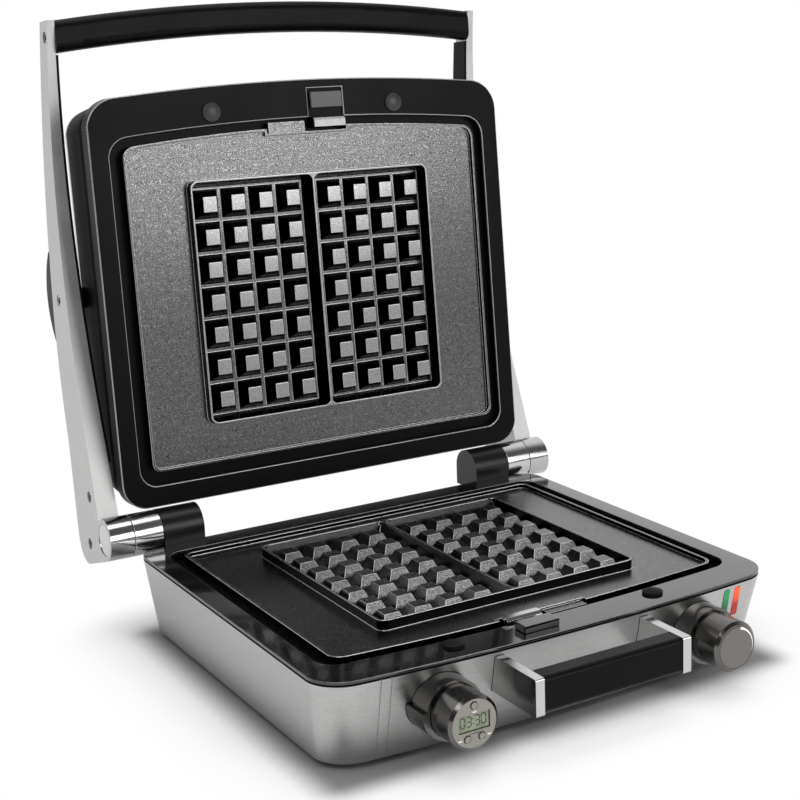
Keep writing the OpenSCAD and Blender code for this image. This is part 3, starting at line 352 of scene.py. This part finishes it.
def satinCastAluminium():
    # die-cast aluminium, fine blasted and silver lacquered: pale, with long soft highlights
    material, tree, where = startMaterial("satinAluminium")
    grain = addNode(tree, "ShaderNodeTexNoise", {"Scale": 1 / castArm["grain"], "Detail": 2.0},
        {"Vector": where["Object"]})
    cloud = addNode(tree, "ShaderNodeTexNoise", {"Scale": 1 / castArm["cloud"], "Detail": 2.0},
        {"Vector": where["Object"]})
    both = addNode(tree, "ShaderNodeMix", {"data_type": "FLOAT", 0: castArm["cloudShare"]},
        {2: grain, 3: cloud})
    tint = addNode(tree, "ShaderNodeValToRGB", links={"Fac": both}, stops=castArm["tint"])
    satin = addNode(tree, "ShaderNodeValToRGB", links={"Fac": both}, stops=castArm["rough"])
    turned = polishedBarrel(tree, where)
    rough = addNode(tree, "ShaderNodeMix", {"data_type": "FLOAT", 3: castArm["barrelRough"]},
        {0: turned, 2: satin})
    metal = addNode(tree, "ShaderNodeMix", {"data_type": "FLOAT", 2: castArm["metal"], 3: 1.0}, {0: turned})
    return finishMaterial(material, {"Base Color": castArm["colour"], "Metallic": castArm["metal"],
        "Roughness": 0.42}, {"Base Color": tint, "Metallic": metal, "Roughness": rough})


polishing = {"mark": 4 * mm, "bright": 0.35, "worn": 0.75}


def plating(name, colour, roughness, wear):
    # bright plating over ground metal: mirror-like, with faint polishing marks
    material, tree, where = startMaterial(name)
    marks = addNode(tree, "ShaderNodeTexNoise", {"Scale": 1 / polishing["mark"], "Detail": 5.0,
        "Roughness": 0.65}, {"Vector": where["Object"]})
    rough = addNode(tree, "ShaderNodeValToRGB", links={"Fac": marks},
        stops=[(polishing["bright"], roughness), (polishing["worn"], roughness + wear)])
    return finishMaterial(material, {"Base Color": colour, "Metallic": 1.0, "Roughness": roughness},
        {"Roughness": rough})


rawSkin = {"patch": 6 * mm, "middle": 0.1, "border": 0.8, "smoother": 0.8, "rougher": 1.2}


def plainMetal(name, colour, roughness):
    # sheet or bar as it comes, with a mottled skin
    material, tree, where = startMaterial(name)
    skin = addNode(tree, "ShaderNodeTexVoronoi", {"Scale": 1 / rawSkin["patch"]}, {"Vector": where["Object"]})
    rough = addNode(tree, "ShaderNodeValToRGB", links={"Fac": skin}, stops=[
        (rawSkin["middle"], roughness * rawSkin["smoother"]),
        (rawSkin["border"], roughness * rawSkin["rougher"])])
    return finishMaterial(material, {"Base Color": colour, "Metallic": 1.0, "Roughness": roughness},
        {"Roughness": rough})


sweep = {"outer": 14.6 * mm, "width": 2.3 * mm, "start": 75, "end": -60, "white": "#F4F4F2"}


def dialMark(tree, centred, radius, colour):
    # a white sweep near the rim, widest near the top and running out to a point at the lower right
    parts = addNode(tree, "ShaderNodeSeparateXYZ", links={0: centred}).outputs
    turn = addNode(tree, "ShaderNodeMath", {"operation": "ARCTAN2"}, {0: parts["Z"], 1: parts["X"]})
    start, end = math.radians(sweep["start"]), math.radians(sweep["end"])
    width = addNode(tree, "ShaderNodeMapRange", {"From Min": end, "From Max": start,
        "To Max": sweep["width"]}, {"Value": turn})
    inward = addNode(tree, "ShaderNodeMath", {"operation": "SUBTRACT", 0: sweep["outer"]}, {1: radius})
    inside = addNode(tree, "ShaderNodeMath", {"operation": "GREATER_THAN", 1: 0}, {0: inward})
    narrow = addNode(tree, "ShaderNodeMath", {"operation": "LESS_THAN"}, {0: inward, 1: width})
    started = addNode(tree, "ShaderNodeMath", {"operation": "LESS_THAN", 1: start}, {0: turn})
    band = addNode(tree, "ShaderNodeMath", {"operation": "MULTIPLY"}, {0: inside, 1: narrow})
    painted = addNode(tree, "ShaderNodeMath", {"operation": "MULTIPLY"}, {0: band, 1: started})
    tint = addNode(tree, "ShaderNodeMix", {"data_type": "RGBA", 6: colour, 7: sweep["white"]}, {0: painted})
    bare = addNode(tree, "ShaderNodeMath", {"operation": "SUBTRACT", 0: 1}, {1: painted})
    return tint, bare


turning = {"ring": 0.35 * mm, "depth": 0.03 * mm, "rough": [(noiseLow, 0.24), (noiseHigh, 0.42)]}


def spunFace(name, node, colour):
    # turned metal disc: fine rings about its own axis, drawn as coarse as they need to show
    low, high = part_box(node)
    middle = (low + high) / 2
    material, tree, where = startMaterial(name)
    centred = addNode(tree, "ShaderNodeMapping", {"vector_type": "POINT",
        "Location": (-middle.x, 0, -middle.z)}, {"Vector": where["Object"]})
    flat = addNode(tree, "ShaderNodeVectorMath", {"operation": "MULTIPLY", 1: (1, 0, 1)}, {0: centred})
    radius = addNode(tree, "ShaderNodeVectorMath", {"operation": "LENGTH"}, {0: flat})
    rings = addNode(tree, "ShaderNodeTexNoise", {"noise_dimensions": "1D", "Scale": 1 / turning["ring"],
        "Detail": 3.0}, {"W": radius})
    rough = addNode(tree, "ShaderNodeValToRGB", links={"Fac": rings}, stops=turning["rough"])
    bump = addNode(tree, "ShaderNodeBump", {"Strength": 0.2, "Distance": turning["depth"]}, {"Height": rings})
    links = {"Roughness": rough, "Normal": bump}
    if node == "dial_face":
        links["Base Color"], links["Metallic"] = dialMark(tree, flat, radius, colour)
    return finishMaterial(material, {"Base Color": colour, "Metallic": 1.0, "Roughness": 0.3}, links)


lens = {"cell": 3 * mm, "unevenness": 6 * mm, "dim": 0.35, "lit": 0.7}


def lampLens(name, node, colour, hot, glow):
    # clear tinted polycarbonate, lit unevenly from behind its upper half
    low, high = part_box(node)
    material, tree, where = startMaterial(name)
    height = addNode(tree, "ShaderNodeSeparateXYZ", links={0: where["Object"]}).outputs["Z"]
    cells = addNode(tree, "ShaderNodeTexNoise", {"Scale": 1 / lens["cell"], "Detail": 2.0},
        {"Vector": where["Object"]})
    uneven = addNode(tree, "ShaderNodeMath", {"operation": "MULTIPLY_ADD", 1: lens["unevenness"]},
        {0: cells, 2: height})
    lift = lens["unevenness"] / 2
    up = addNode(tree, "ShaderNodeMapRange", {"From Min": low.z + lift, "From Max": high.z + lift},
        {"Value": uneven})
    tint = addNode(tree, "ShaderNodeValToRGB", links={"Fac": up},
        stops=[(lens["dim"], colour), (lens["lit"], hot)])
    return finishMaterial(material, {"Base Color": colour, "Roughness": 0.1, "IOR": 1.58,
        "Transmission Weight": 0.2, "Emission Color": colour, "Emission Strength": glow},
        {"Base Color": tint, "Emission Color": tint})


liquidCrystal = {"colour": "#7C846C", "haze": 5 * mm, "tint": [(noiseLow, "#6E765F"), (noiseHigh, "#899178")]}


def displayGlass():
    # reflective liquid crystal panel behind a clear window, with a slow haze in its green
    material, tree, where = startMaterial("liquidCrystal")
    haze = addNode(tree, "ShaderNodeTexNoise", {"Scale": 1 / liquidCrystal["haze"], "Detail": 2.0},
        {"Vector": where["Object"]})
    tint = addNode(tree, "ShaderNodeValToRGB", links={"Fac": haze}, stops=liquidCrystal["tint"])
    return finishMaterial(material, {"Base Color": liquidCrystal["colour"], "Roughness": 0.2,
        "Coat Weight": 0.4}, {"Base Color": tint})


def makeMaterials():
    return {
        "brushed_shell": brushedSteel("brushedStainless"),
        "steel_panel": brushedSteel("brushedPanel", True),
        # name, colour, roughness, grain, its depth, gloss and coat
        "gloss_black": moulding("glossBlackABS", "#0A0A0B", 0.13, 2.5 * mm, 0.006 * mm, 0.5, 0.6),
        "black_plastic": moulding("mattBlackABS", "#0C0C0D", 0.34, 0.7 * mm, 0.02 * mm),
        "bumper_grey": moulding("greySilicone", "#2B2B2C", 0.35, 0.9 * mm, 0.02 * mm, 0.5),
        "grained_black": moulding("grainedHousingABS", "#0B0B0C", 0.6, 0.9 * mm, 0.03 * mm, 0.04),
        "satin_black": moulding("satinBlackABS", "#0C0C0D", 0.3, 0.7 * mm, 0.02 * mm, 0.35),
        "rubber": moulding("blackSilicone", "#161616", 0.55, 0.9 * mm, 0.04 * mm),
        "ceramic": moulding("steatite", "#DDD4C0", 0.6, 0.8 * mm, 0.03 * mm),
        "board": moulding("circuitBoard", "#1F5B33", 0.4, 1.2 * mm, 0.02 * mm),
        "button_grey": moulding("greyKeycap", "#4C4C4E", 0.35, 0.6 * mm, 0.02 * mm, 0.4),
        "displayInk": moulding("displayInk", "#2E332A", 0.4, 0.5 * mm, 0.005 * mm, 0.4),
        "paleInk": moulding("paleInk", "#E8E8E4", 0.5, 0.5 * mm, 0.005 * mm, 0.4),
        # name, colour, roughness and wear
        "screw_steel": plating("screwSteel", "#6F7072", 0.3, 0.15),
        "latch_plating": plating("latchPlating", "#9E9E9D", 0.34, 0.12),
        "polished_chrome": plating("polishedChrome", "#C6C6C5", 0.12, 0.06),
        "shaft_steel": plating("groundSteel", "#B5B6B7", 0.2, 0.1),
        "dark_chrome": plating("blackNickel", "#6B6967", 0.15, 0.08),
        "cast_arm": satinCastAluminium(),
        "brass": plainMetal("sinteredBronze", "#B08A4E", 0.5),
        "bare_aluminium": plainMetal("pressedAluminium", "#D2D3D4", 0.4),
        "heater_steel": plainMetal("bluedSheath", "#5B5450", 0.45),
        "nonstick": nonstickCoat("nonstickCoat", (0, 0, 1), 0.3, 0.52),
        "nonstick_upper": nonstickCoat("upperNonstickCoat", lidFacing, 0.8, 0.96, "upper_plate"),
        "nonstickEdgeHighlight": paintedHighlightEdge("nonstickEdgeHighlight", "#C6C6C5", 1.0, 0.25),
        "upperNonstickEdgeHighlight": paintedHighlightEdge("upperNonstickEdgeHighlight", "#C4C4C3", 1.0, 0.25, lidFacing),
        "frameEdgeHighlight": paintedHighlightEdge("frameMouldedEdgeHighlight", "#A6A6A6", 0.8, 0.3),
        "blackEdgeHighlight": paintedHighlightEdge("blackMouldedEdgeHighlight", "#6E6E6F", 0.6, 0.22),
        "satin_face": spunFace("spunDial", "dial_face", "#7B7875"),
        "timer_grey": spunFace("spunTimer", "timer_face", "#98958F"),
        "display": displayGlass(),
        "green_lens": lampLens("greenPolycarbonate", "ready_lens", "#056239", "#159A60", 0.1),
        "red_lens": lampLens("redPolycarbonate", "power_lens", "#A50F06", "#FF5C16", 0.25),
    }


edgeRadii = {  # millimetres
    "base_shell": 0.5, "base_bezel": 0.5, "lower_plate_tray": 0.3, "feet": 0.6,
    "hinge_knuckle_left": 0.8, "hinge_knuckle_right": 0.8,
    "hinge_collar_left": 0.4, "hinge_collar_right": 0.4, "hinge_caps": 0.3,
    "timer_sleeve": 0.5, "timer_body": 0.4, "timer_face": 0.3,
    "dial_sleeve": 0.5, "thermostat_dial": 0.6, "dial_face": 0.2,
    "grip_bracket_left": 0.6, "grip_bracket_right": 0.6, "front_grip_bar": 0.8,
    "ready_lens": 0.4, "power_lens": 0.4, "lower_plate": 0.4, "upper_plate": 0.4,
    "lower_release_button": 0.8, "upper_release_button": 0.8,
    "lower_latch_bar": 0.5, "upper_latch_bar": 0.5,
    "arm_left": 0.8, "arm_right": 0.8, "arm_liner_left": 0.4, "arm_liner_right": 0.4,
    "lid_handle": 0.5, "arm_screws": 0.25, "float_lock_slide": 0.8,
    "lid_frame": 0.8, "lid_housing": 0.5, "lid_cover": 1.2, "upper_plate_tray": 0.3,
}
ownFinish = {  # where the finish differs from the record's
    "lid_cover": "steel_panel", "lid_housing": "grained_black", "lid_bumpers": "bumper_grey",
    "hinge_knuckle_left": "satin_black", "hinge_knuckle_right": "satin_black",
    "upper_plate": "nonstick_upper", "upper_latch_bar": "latch_plating",
    "timer_face": "timer_grey", "timer_start_button": "timer_grey",
    "timer_minute_button": "timer_grey", "timer_second_button": "timer_grey",
}
edgeHighlightFinish = {
    "lower_plate": "nonstickEdgeHighlight", "upper_plate": "upperNonstickEdgeHighlight",
    "lid_frame": "frameEdgeHighlight", "base_bezel": "blackEdgeHighlight",
}
rounding = {"weld": 0.002 * mm, "segments": 2, "degrees": 35, "flatWeight": 100}


def finishNodes(materials):
    for row in frame["record"]["subparts"]:
        name = row["node"]
        node = nodes[name]
        node.data.materials.clear()
        node.data.materials.append(materials[ownFinish.get(name, row["material_slot"])])
        if name in edgeRadii:
            weld = node.modifiers.new("weld", "WELD")
            weld.merge_threshold = rounding["weld"]
            bevel = node.modifiers.new("softEdges", "BEVEL")
            bevel.width = edgeRadii[name] * mm
            bevel.segments = rounding["segments"]
            bevel.limit_method = "ANGLE"
            bevel.angle_limit = math.radians(rounding["degrees"])
            # clamping would hold every edge of a plate back to its smallest step
            bevel.use_clamp_overlap = name not in ("lower_plate", "upper_plate")
            # the bevel faces take the painted edge highlight
            if name in edgeHighlightFinish:
                node.data.materials.append(materials[edgeHighlightFinish[name]])
                bevel.material = 1
            flats = node.modifiers.new("flatFaces", "WEIGHTED_NORMAL")
            flats.weight = rounding["flatWeight"]


readout = {
    "figures": "0330", "height": 6.2 * mm, "width": 3.1 * mm, "bar": 0.75 * mm, "ink": 0.04 * mm,
    "gap": 0.25 * mm, "columns": (-7.6 * mm, -3.2 * mm, 2.6 * mm, 7.0 * mm), "rise": 0.5 * mm,
    "colon": -0.3 * mm, "dots": (-0.5, 0.5), "dotHeight": 0.35,  # dots in half figures and in bars
}
barPlaces = {  # across and up in half figures, then the turn in degrees
    "a": (0, 1, 90), "b": (1, 0.5, 0), "c": (1, -0.5, 0), "d": (0, -1, 90), "e": (-1, -0.5, 0),
    "f": (-1, 0.5, 0), "g": (0, 0, 90),
}
litBars = {"0": "abcdef", "3": "abcdg"}
keyMarks = {  # places across and up from the middle of the face, in millimetres
    "size": (3.0 * mm, 0.7 * mm), "places": ((-10.2, -9.0), (10.2, -9.0), (0.2, 7.3)),
}


def pointedBar(length, width, thickness):
    # a six-sided disc that faces the front, pulled out to an upright bar with pointed ends
    bpy.ops.mesh.primitive_cylinder_add(vertices=6, radius=length / 2, depth=thickness,
        rotation=(math.radians(90), 0, 0))
    bpy.ops.object.transform_apply(location=False, rotation=True, scale=False)
    bar = bpy.context.object
    bpy.ops.object.mode_set(mode="EDIT")
    bpy.ops.mesh.select_mode(type="VERT")
    bpy.ops.mesh.select_all(action="DESELECT")
    bpy.ops.object.mode_set(mode="OBJECT")
    for vertex in bar.data.vertices:
        vertex.select = abs(vertex.co.x) > length / 10  # all but the two tips
    bpy.ops.object.mode_set(mode="EDIT")
    bpy.ops.transform.resize(value=(width / (length * math.sin(math.radians(60))), 1,
        2 * (length - width) / length))
    bpy.ops.object.mode_set(mode="OBJECT")
    return bar


def copyTo(original, place, turn):
    selectOnly(original)
    bpy.ops.object.duplicate()
    twin = bpy.context.object
    twin.location = place
    twin.rotation_euler = (0, math.radians(turn), 0)
    return twin


def joinAs(name, parts, spare, material):
    selectOnly(*parts)
    bpy.ops.object.join()
    bpy.ops.object.transform_apply(location=True, rotation=True, scale=True)
    piece = bpy.context.object
    piece.name = name
    piece.data.materials.clear()
    piece.data.materials.append(material)
    bpy.data.objects.remove(spare)
    return piece


def makeReadout(materials):
    low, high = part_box("timer_display")
    middle = (low + high) / 2
    face = low.y - readout["ink"] / 2
    half = (readout["width"] / 2, readout["height"] / 2)
    bar = pointedBar(half[1] - readout["gap"], readout["bar"], readout["ink"])
    parts = []
    for figure, column in zip(readout["figures"], readout["columns"]):
        for name in litBars[figure]:
            across, up, turn = barPlaces[name]
            parts.append(copyTo(bar, (middle.x + column + across * half[0], face,
                middle.z + readout["rise"] + up * half[1]), turn))
    for up in readout["dots"]:
        dot = copyTo(bar, (middle.x + readout["colon"], face, middle.z + readout["rise"] + up * half[1]), 0)
        dot.scale = (1, 1, readout["dotHeight"])
        parts.append(dot)
    figures = joinAs("timer_figures", parts, bar, materials["displayInk"])
    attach(figures, "timer")
    low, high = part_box("timer_face")
    middle = (low + high) / 2
    mark = pointedBar(*keyMarks["size"], readout["ink"])
    marks = [copyTo(mark, (middle.x + x * mm, low.y - readout["ink"] / 2, middle.z + z * mm), 90)
        for x, z in keyMarks["places"]]
    printed = joinAs("timer_key_marks", marks, mark, materials["paleInk"])
    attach(printed, "timer")


print("studio")
makeCamera()
makeLamps()
makeWorld()
makeFloor()
bpy.context.scene.view_settings.view_transform = "Standard"
print("finishes")
finishes = makeMaterials()
finishNodes(finishes)
print("timer read-out")
makeReadout(finishes)
